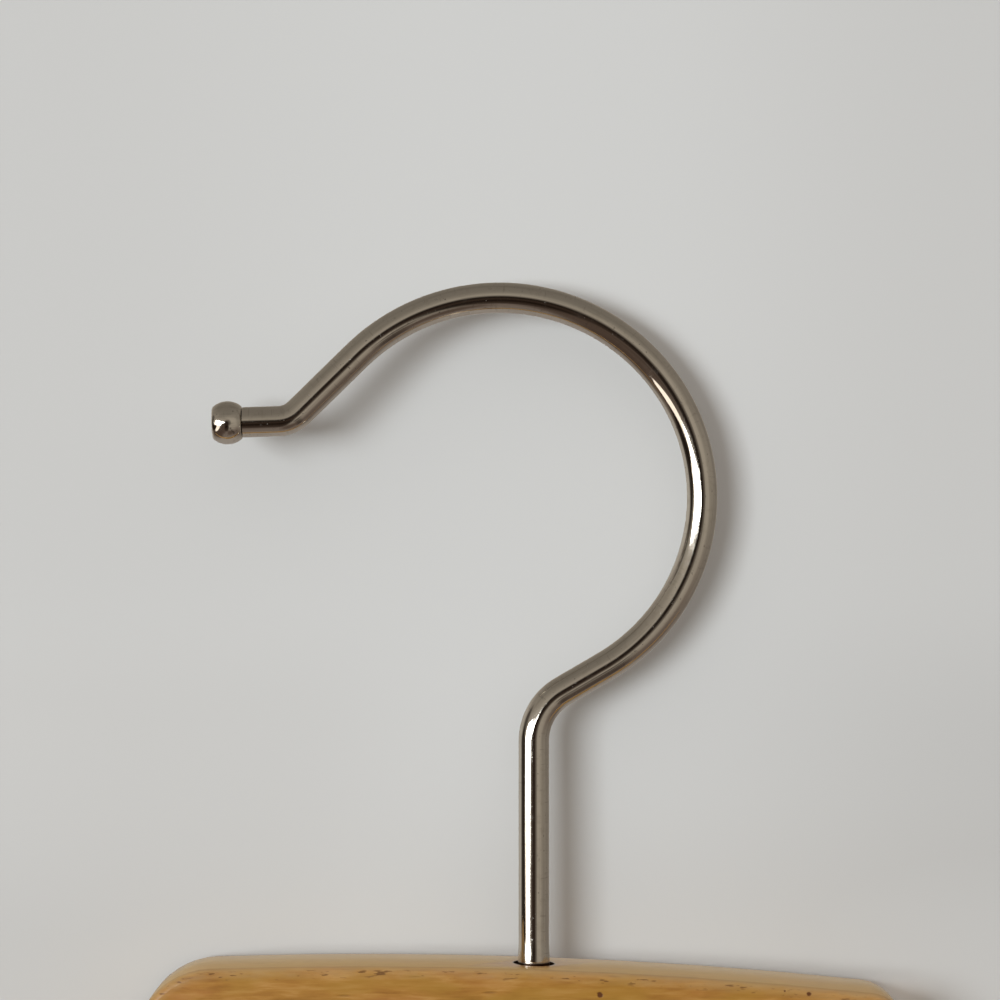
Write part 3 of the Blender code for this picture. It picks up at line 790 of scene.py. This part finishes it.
def ribbed_tube(name, node):
    """A tube with an even bore, its outside waved into ribs."""
    low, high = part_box(node)
    outer = (high.z - low.z) / 2
    inner = bar_high.y + SLEEVE_PLAY
    count = SLEEVE_RIBS * SLEEVE_POINTS_PER_RIB
    shape = bmesh.new()
    rings = []
    for station in range(SLEEVE_STATIONS + 1):
        along = low.x + (high.x - low.x) * station / SLEEVE_STATIONS
        middle = Vector((along, 0, bar_middle.z))
        outside = []
        inside = []
        for step in range(count):
            angle = 2 * math.pi * step / count
            wave = 0.5 + 0.5 * math.cos(SLEEVE_RIBS * angle)
            radius = outer - SLEEVE_RIB_HEIGHT * (1 - wave ** SLEEVE_RIB_POWER)
            across = Vector((0, math.cos(angle), math.sin(angle)))
            outside.append(shape.verts.new(middle + across * radius))
            inside.append(shape.verts.new(middle + across * inner))
        rings.append((outside, inside))
    for (out_a, in_a), (out_b, in_b) in zip(rings, rings[1:]):
        for i in range(count):
            j = (i + 1) % count
            shape.faces.new((out_a[i], out_a[j], out_b[j], out_b[i]))
            shape.faces.new((in_a[j], in_a[i], in_b[i], in_b[j]))
    for outside, inside in (rings[0], rings[-1]):
        for i in range(count):
            j = (i + 1) % count
            shape.faces.new((outside[i], outside[j], inside[j], inside[i]))
    mesh = meshed(name, shape)
    smooth(mesh, SLEEVE_SHARP_ANGLE)
    return placed(name, mesh)


def clear_vinyl():
    finish = Finish("clear_vinyl", {"IOR": 1.5, "Specular IOR Level": 0.6})
    haze = finish.grain(finish.place(), VINYL_HAZE, detail=3)
    rim = finish.node("LayerWeight", values={"Blend": 0.35}, output="Facing")
    finish.feed("Base Color", finish.blend(haze, VINYL_PALE, VINYL_YELLOWED))
    finish.feed("Roughness", VINYL_ROUGHNESS + haze * VINYL_HAZE_ROUGHNESS)
    finish.feed("Alpha", VINYL_ALPHA + rim * VINYL_ALPHA_RIM + haze * VINYL_ALPHA_HAZE)
    finish.feed("Normal", finish.relief(haze, VINYL_HAZE_DEPTH))
    return finish.material


sleeve = ribbed_tube("sleeve_ribbed", "bar_sleeve")
dress(sleeve, "board", "bar_sleeve", clear_vinyl())


# The bar's pins: bright steel brads driven in from the back, through the heel and the tenon.
# Each is a cut length of drawn wire with a pressed, slightly domed head and a blunt point.
BRAD_HEAD_DOME_SHARE = 0.25
BRAD_HEAD_HEIGHT = 0.0006
BRAD_RADIUS = 0.00075
BRAD_POINT = 0.002
BRAD_SIDES = 32
STEEL = (0.56, 0.55, 0.53)
STEEL_RUSTED = (0.3, 0.22, 0.16)
RUST = 2400
RUST_SHOWN = (0.52, 0.7)
RUST_SHARE = 0.6
RUST_ROUGHNESS = 0.2
STEEL_ROUGHNESS = 0.3


def bright_steel():
    finish = Finish("bright_steel", {"Metallic": 1})
    spots = finish.grain(finish.drawn(), RUST, detail=3)
    rust = finish.step(spots, *RUST_SHOWN) * RUST_SHARE
    finish.feed("Base Color", finish.blend(rust, STEEL, STEEL_RUSTED))
    finish.feed("Roughness", STEEL_ROUGHNESS + spots * RUST_ROUGHNESS)
    finish.feed("Normal", finish.relief(spots, STEEL_RELIEF))
    return finish.material


steel = bright_steel()
for node, name in (("bar_pin_left", "brad_left"), ("bar_pin_right", "brad_right")):
    low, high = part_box(node)
    head_radius = (high.x - low.x) / 2
    length = high.y - low.y
    dome = BRAD_HEAD_HEIGHT * BRAD_HEAD_DOME_SHARE
    section = [(0, 0), (head_radius * 0.5, -dome * 0.3), (head_radius, -dome),
               (head_radius, -BRAD_HEAD_HEIGHT), (BRAD_RADIUS, -BRAD_HEAD_HEIGHT),
               (BRAD_RADIUS, BRAD_POINT - length), (BRAD_RADIUS * 0.25, -length), (0, -length)]
    middle = (low + high) / 2
    brad = turned(name, section, Vector((middle.x, high.y, middle.z)), Vector((0, 1, 0)), BRAD_SIDES)
    dress(brad, "board", node, steel)


# The setting: a pale wall just behind the hook, which takes its close shadow, a pale floor, a soft lamp
# to the left, and the window, its curtain and the dim warm room that the plating mirrors.
WALL_GAP = 0.0006
WALL_EDGE = 0.078
WALL_FADE = 0.012
WALL_TOP = 0.056
WALL_FOOT = 0.0065
WALL_HEM = 0.003
WALL_TURN = 5.0
WALL_TURN_LOW = -0.077
WALL_TURN_HIGH = -0.036
WALL_ROWS = 36
WALL_COLOUR = (0.58, 0.58, 0.568)
# Painted shade: the second wall colour and the SHADE_ places below darken the wall towards its sides,
# under the lip and low by the wood.
WALL_PAINTED_SHADE = (0.525, 0.52, 0.505)
# Painted light: the third wall colour and the LIT_ places lighten the board's cast shadow right of the
# crown's shoulder.
WALL_PAINTED_LIGHT = (0.75, 0.745, 0.73)
SHADE_LEFT = (0, -0.06)
SHADE_LEFT_SHARE = 0.6
SHADE_RIGHT = (0.015, 0.06)
SHADE_RIGHT_SHARE = 0.7
SHADE_UNDER_LIP = (-0.034, -0.052)
SHADE_UNDER_LIP_SIDE = (0, -0.03)
SHADE_UNDER_LIP_SHARE = 0.45
SHADE_LOW = (-0.058, -0.078)
SHADE_LOW_SIDE = (-0.02, 0.005)
SHADE_LOW_SHARE = 0.6
LIT_SIDE_IN = (0.044, 0.048)
LIT_SIDE_OUT = (0.057, 0.049)
LIT_BELOW = (-0.0828, -0.0858)
FLOOR_COLOUR = (0.72, 0.71, 0.69)
FLOOR_DROP = 0.9
FLOOR_RADIUS = 9
SKY_TONES = ((0.42, (0.18, 0.15, 0.125)), (0.56, (0.68, 0.635, 0.59)), (0.85, (0.88, 0.84, 0.81)))
LAMP_LIGHT = (15.4, 16.3, 17)
LAMP_CORNERS = ((-18, -1), (-30, 10), (-47, 14), (-47, -7), (-18, -7))
WINDOW_LIGHT = (12, 12.6, 13)
WINDOW_CORNERS = ((-9, 0), (-30, 4.5), (-45, 9), (-58, 9), (-64, 0), (-62, -7), (-53, -10), (-46, -14),
                  (-35, -13), (-31, -8), (-24, -4))
CURTAIN_LIGHT = (1.8, 1.65, 1.5)
CURTAIN_CORNERS = ((-57, 8), (-66, 8), (-68, -2), (-72, -8), (-60, -11), (-56, -15), (-62, -22),
                   (-76, -31), (-76, -37), (-58, -35), (-48, -29), (-38, -20), (-35, -13), (-46, -14),
                   (-53, -10), (-62, -7), (-64, 0))
PANEL_DISTANCE = 2.5
ROOM_RADIUS = 3.2
ROOM_TONES = ((0, (0.24, 0.2, 0.175)), (0.07, (0.21, 0.17, 0.145)), (0.15, (0.17, 0.135, 0.115)),
              (0.28, (0.24, 0.2, 0.17)), (0.4, (0.34, 0.305, 0.265)), (0.5, (0.41, 0.38, 0.325)),
              (0.58, (0.45, 0.415, 0.36)), (0.72, (0.34, 0.31, 0.27)), (0.88, (0.245, 0.225, 0.195)),
              (1, (0.22, 0.2, 0.175)))
ROOM_DARK = (0.014, 0.008, 0.005)
ROOM_DIM = (0.04, 0.026, 0.019)
ROOM_BROWN = (0.09, 0.062, 0.048)
ROOM_SHAPES = ((22, -4, 14, 48, 0.7, (0.48, 0.44, 0.38)), (95, 12, 20, 55, 0.6, (0.25, 0.225, 0.195)),
               (-132, -5, 10, 35, 0.7, (0.6, 0.58, 0.54)), (135, 0, 20, 45, 0.5, (0.2, 0.18, 0.16)),
               (180, -55, 20, 50, 0.7, (0.48, 0.45, 0.42)), (-20, -60, 6, 22, 0.5, (0.25, 0.21, 0.19)),
               (-38, -38, 14, 30, 0.85, ROOM_BROWN), (-76, -47, 14, 28, 0.85, ROOM_BROWN),
               (26, -57, 5, 16, 0.7, ROOM_BROWN), (-14, -20, 9, 20, 0.9, ROOM_BROWN),
               (-74, -16, 10, 18, 0.97, ROOM_DARK), (-92, -10, 10, 22, 0.9, ROOM_DARK),
               (-88, 12, 8, 20, 0.8, ROOM_DARK), (5, -2, 5, 22, 0.8, ROOM_DIM),
               (-3, -4, 6, 15, 0.95, ROOM_DARK), (-1, -15, 6, 14, 0.9, ROOM_DIM),
               (0, -27, 7, 14, 0.95, ROOM_DARK), (-2, -38, 5, 13, 0.85, ROOM_DIM),
               (21, -31, 2, 6, 0.7, ROOM_DARK), (32, -40, 2, 6, 0.7, ROOM_DARK),
               (44, -47, 2, 6, 0.7, ROOM_DARK), (57, -53, 2, 7, 0.7, ROOM_DARK))
LENS = 109.8
CAMERA_PLACE = (0.00007, -0.38, -0.0233)
CAMERA_NEAR = 0.01


def direction(azimuth, elevation):
    """Azimuth 0 points at the camera and grows to the right."""
    around = math.radians(azimuth)
    rise = math.radians(elevation)
    level = math.cos(rise)
    return Vector((math.sin(around) * level, -math.cos(around) * level, math.sin(rise)))


def staged(name, mesh, material, unseen):
    """A piece of the setting, left out for the kinds of rays that are named."""
    mesh.materials.append(material)
    thing = placed(name, mesh)
    for ray in unseen:
        setattr(thing, "visible_" + ray, False)


def flat_mesh(name, corners):
    mesh = bpy.data.meshes.new(name)
    mesh.from_pydata(corners, [], [tuple(range(len(corners)))])
    return mesh


def wall_paint():
    """Matt paint seen from the front only, fading out at the wall piece's edges; painted shade darkens
    it towards the sides, under the lip and low by the wood, and a painted patch of light lightens it
    right of the crown's shoulder.
    """
    finish = Finish("wall_paint", {"Roughness": 0.9, "Specular IOR Level": 0.1})
    side = finish.part(finish.place(), "X")
    height = finish.part(finish.place(), "Z")
    # Painted shade: darker towards the sides, under the lip and low by the wood.
    painted_shade = finish.step(side, *SHADE_LEFT) * SHADE_LEFT_SHARE
    painted_shade = painted_shade + finish.step(side, *SHADE_RIGHT) * SHADE_RIGHT_SHARE
    under = finish.step(height, *SHADE_UNDER_LIP) * finish.step(side, *SHADE_UNDER_LIP_SIDE)
    painted_shade = painted_shade + under * SHADE_UNDER_LIP_SHARE
    low = finish.step(height, *SHADE_LOW) * finish.step(side, *SHADE_LOW_SIDE)
    painted_shade = painted_shade + low * SHADE_LOW_SHARE
    colour = finish.blend(finish.node("Clamp", values={"Value": painted_shade}), WALL_COLOUR, WALL_PAINTED_SHADE)
    # Painted light: a paler patch that lightens the board's shadow right of the crown's shoulder.
    painted_light = finish.step(side, *LIT_SIDE_IN) * finish.step(side, *LIT_SIDE_OUT)
    painted_light = painted_light * finish.step(height, *LIT_BELOW)
    finish.feed("Base Color", finish.blend(painted_light, colour, WALL_PAINTED_LIGHT))
    shown = finish.step(abs(side), WALL_EDGE, WALL_EDGE - WALL_FADE)
    shown = shown * finish.step(height, WALL_TOP, WALL_TOP - WALL_FADE)
    backface = finish.node("NewGeometry", output="Backfacing")
    finish.feed("Alpha", shown * (1 - backface))
    return finish.material


def glow(name, colour=(0, 0, 0)):
    """A finish that gives light and mirrors or scatters none."""
    return Finish(name, {"Base Color": (0, 0, 0, 1), "Roughness": 1, "Specular IOR Level": 0,
                         "Emission Color": (*colour, 1), "Emission Strength": 1})


def room_glow():
    """The room as the plating mirrors it: warm grey above, brown below, dark where someone stands."""
    finish = glow("room")
    way = finish.node("VectorMath", {"operation": "NORMALIZE"}, {0: finish.place()})
    colour = finish.ramp(finish.part(way, "Z") * 0.5 + 0.5, *ROOM_TONES)
    for azimuth, elevation, core, rim, share, tone in ROOM_SHAPES:
        close = finish.vector("DOT_PRODUCT", way, direction(azimuth, elevation), output="Value")
        shown = finish.step(close, math.cos(math.radians(rim)), math.cos(math.radians(core)))
        colour = finish.blend(shown * share, colour, tone)
    finish.feed("Emission Color", colour)
    finish.material.cycles.emission_sampling = "NONE"
    return finish.material


def wall_rows(start, end, between=()):
    """Evenly spread values and a few given ones between them, in order."""
    even = {start + (end - start) * row / WALL_ROWS for row in range(WALL_ROWS + 1)}
    return sorted(even.union(between))


def within(loop, x, z):
    """Whether a place lies within a closed outline."""
    crossings = [a.x + (z - a.z) / (b.z - a.z) * (b.x - a.x)
                 for a, b in zip(loop, loop[1:] + loop[:1]) if (a.z > z) != (b.z > z)]
    return sum(crossing > x for crossing in crossings) % 2 == 1


def wall_mesh():
    """A wall that stands true behind the wood and turns towards the hook's right side above it.

    It is left open where the board hides it, so that the board's back is lit like its front.
    """
    foot = hook_foot.z - WALL_FOOT
    across = wall_rows(-WALL_EDGE, WALL_EDGE)
    upward = wall_rows(foot, WALL_TOP, (foot + WALL_HEM, hook_foot.z - 2 * WALL_GAP))
    outline = front_loop("shoulder_board")
    points = []
    hidden = []
    for z in upward:
        share = eased((z - WALL_TURN_LOW) / (WALL_TURN_HIGH - WALL_TURN_LOW))
        turn = math.tan(math.radians(WALL_TURN)) * share
        points += [(x, board_high.y + WALL_GAP - (x - hook_foot.x) * turn, z) for x in across]
        hidden += [within(outline, x, z + WALL_GAP) for x in across]
    faces = []
    for row in range(len(upward) - 1):
        for column in range(len(across) - 1):
            corner = row * len(across) + column
            face = (corner, corner + 1, corner + 1 + len(across), corner + len(across))
            if not all(hidden[point] for point in face):
                faces.append(face)
    mesh = bpy.data.meshes.new("wall")
    mesh.from_pydata(points, [], faces)
    mesh.shade_smooth()
    return mesh


staged("wall", wall_mesh(), wall_paint(), ("glossy", "shadow"))
floor_paint = Finish("floor_paint", {"Base Color": (*FLOOR_COLOUR, 1), "Roughness": 0.8}).material
floor_z = board_low.z - FLOOR_DROP
floor_corners = [(FLOOR_RADIUS * x, FLOOR_RADIUS * y, floor_z)
                 for x, y in ((-1, -1), (1, -1), (1, 1), (-1, 1))]
staged("floor", flat_mesh("floor", floor_corners), floor_paint, ("glossy", "diffuse", "shadow"))
for name, light, corners, unlit in (("lamp", LAMP_LIGHT, LAMP_CORNERS, "glossy"),
                                    ("window", WINDOW_LIGHT, WINDOW_CORNERS, "diffuse"),
                                    ("curtain", CURTAIN_LIGHT, CURTAIN_CORNERS, "diffuse")):
    panel = flat_mesh(name, [direction(*corner) * PANEL_DISTANCE for corner in corners])
    staged(name, panel, glow(name, light).material, ("camera", "shadow", unlit))
shape = bmesh.new()
bmesh.ops.create_icosphere(shape, subdivisions=4, radius=ROOM_RADIUS)
staged("room", meshed("room", shape), room_glow(), ("camera", "diffuse", "shadow", "transmission"))

world = bpy.data.worlds.new("room_light")
bpy.context.scene.world = world
sky = Shading(world, "Background")
height = sky.part(sky.node("TexCoord", output="Generated"), "Z")
sky.feed("Color", sky.ramp(sky.node("MapRange", values={"Value": height, "From Min": -1}), *SKY_TONES))
bpy.context.scene.view_settings.view_transform = "Standard"

camera = placed("camera", bpy.data.cameras.new("camera"))
bpy.context.scene.camera = camera
camera.data.lens = LENS
camera.data.clip_start = CAMERA_NEAR
camera.location = CAMERA_PLACE
camera.rotation_euler = (math.pi / 2, 0, 0)
